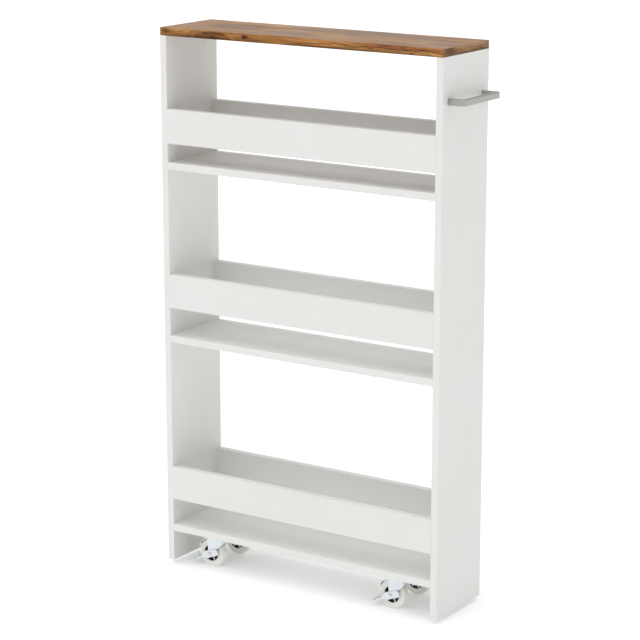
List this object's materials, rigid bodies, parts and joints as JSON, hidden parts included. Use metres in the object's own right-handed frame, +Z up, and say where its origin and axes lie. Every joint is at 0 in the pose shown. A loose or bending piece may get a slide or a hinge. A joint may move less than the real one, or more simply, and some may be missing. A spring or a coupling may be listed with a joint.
{
  "type": "rolling pantry cart",
  "caption": "Slim rolling pantry cart: white board carcass with railed shelves, rustic wood top, side towel bar and small swivel casters with foot brakes at the front.",
  "frame": {"origin": "centre of the overall box at floor level, where the wheels stand; the towel bar puts the carcass 15 mm left of it", "axes": "+Z up, -Y is the front where the braked casters are, +X towards the towel bar, lengths in metres"},
  "size_m": [0.56, 0.14, 0.915],
  "materials": {
    "white_board": "satin white melamine face on particle board",
    "white_edge_band": "satin white edge band",
    "wood_top": "matt rustic wood-grain foil",
    "wood_edge_band": "matt rustic wood-grain edge band",
    "white_sticker": "satin film",
    "beech": "turned dowel, fluted",
    "bar_metal": "satin",
    "fastener_steel": "bright zinc plated",
    "cam_zinc": "die-cast zinc",
    "caster_zinc": "blue-passivated zinc plate",
    "wheel_plastic": "satin off-white moulded plastic"
  },
  "bodies": {
    "root": {"top_board": "wood_top", "left_side_panel": "white_board", "right_side_panel": "white_board", "upper_shelf": "white_board", "middle_shelf": "white_board", "bottom_shelf": "white_board", "upper_front_rail": "white_board", "upper_rear_rail": "white_board", "middle_front_rail": "white_board", "middle_rear_rail": "white_board", "lower_front_rail": "white_board", "lower_rear_rail": "white_board", "top_edge_bands": "wood_edge_band", "side_edge_bands": "white_edge_band", "shelf_edge_bands": "white_edge_band", "rail_edge_bands": "white_edge_band", "cam_bolts": "fastener_steel", "cam_locks": "cam_zinc", "cam_cover_stickers": "white_sticker", "wood_dowels": "beech", "towel_bar": "bar_metal", "towel_bar_screws": "fastener_steel", "caster_screws": "fastener_steel", "front_left_plate": "caster_zinc", "front_left_kingpin": "fastener_steel", "front_right_plate": "caster_zinc", "front_right_kingpin": "fastener_steel", "rear_left_plate": "caster_zinc", "rear_left_kingpin": "fastener_steel", "rear_right_plate": "caster_zinc", "rear_right_kingpin": "fastener_steel"},
    "front_left_swivel_body": {"front_left_fork": "caster_zinc", "front_left_balls": "fastener_steel", "front_left_axle": "fastener_steel", "front_left_sleeve": "fastener_steel", "front_left_brake_shoe": "fastener_steel"},
    "front_left_wheel_body": {"front_left_wheel": "wheel_plastic"},
    "front_left_brake_body": {"front_left_brake_lever": "caster_zinc"},
    "front_right_swivel_body": {"front_right_fork": "caster_zinc", "front_right_balls": "fastener_steel", "front_right_axle": "fastener_steel", "front_right_sleeve": "fastener_steel", "front_right_brake_shoe": "fastener_steel"},
    "front_right_wheel_body": {"front_right_wheel": "wheel_plastic"},
    "front_right_brake_body": {"front_right_brake_lever": "caster_zinc"},
    "rear_left_swivel_body": {"rear_left_fork": "caster_zinc", "rear_left_balls": "fastener_steel", "rear_left_axle": "fastener_steel", "rear_left_sleeve": "fastener_steel"},
    "rear_left_wheel_body": {"rear_left_wheel": "wheel_plastic"},
    "rear_right_swivel_body": {"rear_right_fork": "caster_zinc", "rear_right_balls": "fastener_steel", "rear_right_axle": "fastener_steel", "rear_right_sleeve": "fastener_steel"},
    "rear_right_wheel_body": {"rear_right_wheel": "wheel_plastic"}
  },
  "joints": [
    {"name": "front_left_swivel", "type": "hinge", "parent": "root", "child": "front_left_swivel_body", "pos_m": [-0.195, -0.0375, 0.056], "axis": [0, 0, 1], "continuous": true},
    {"name": "front_left_roll", "type": "hinge", "parent": "front_left_swivel_body", "child": "front_left_wheel_body", "pos_m": [-0.208, -0.0375, 0.024], "axis": [0, 1, 0], "continuous": true},
    {"name": "front_left_brake", "type": "hinge", "parent": "front_left_swivel_body", "child": "front_left_brake_body", "pos_m": [-0.208, -0.0375, 0.024], "axis": [0, 1, 0], "range_deg": [0, 22]},
    {"name": "front_right_swivel", "type": "hinge", "parent": "root", "child": "front_right_swivel_body", "pos_m": [0.165, -0.0375, 0.056], "axis": [0, 0, 1], "continuous": true},
    {"name": "front_right_roll", "type": "hinge", "parent": "front_right_swivel_body", "child": "front_right_wheel_body", "pos_m": [0.152, -0.0375, 0.024], "axis": [0, 1, 0], "continuous": true},
    {"name": "front_right_brake", "type": "hinge", "parent": "front_right_swivel_body", "child": "front_right_brake_body", "pos_m": [0.152, -0.0375, 0.024], "axis": [0, 1, 0], "range_deg": [0, 22]},
    {"name": "rear_left_swivel", "type": "hinge", "parent": "root", "child": "rear_left_swivel_body", "pos_m": [-0.195, 0.0375, 0.056], "axis": [0, 0, 1], "continuous": true},
    {"name": "rear_left_roll", "type": "hinge", "parent": "rear_left_swivel_body", "child": "rear_left_wheel_body", "pos_m": [-0.208, 0.0375, 0.024], "axis": [0, 1, 0], "continuous": true},
    {"name": "rear_right_swivel", "type": "hinge", "parent": "root", "child": "rear_right_swivel_body", "pos_m": [0.165, 0.0375, 0.056], "axis": [0, 0, 1], "continuous": true},
    {"name": "rear_right_roll", "type": "hinge", "parent": "rear_right_swivel_body", "child": "rear_right_wheel_body", "pos_m": [0.152, 0.0375, 0.024], "axis": [0, 1, 0], "continuous": true}
  ]
}
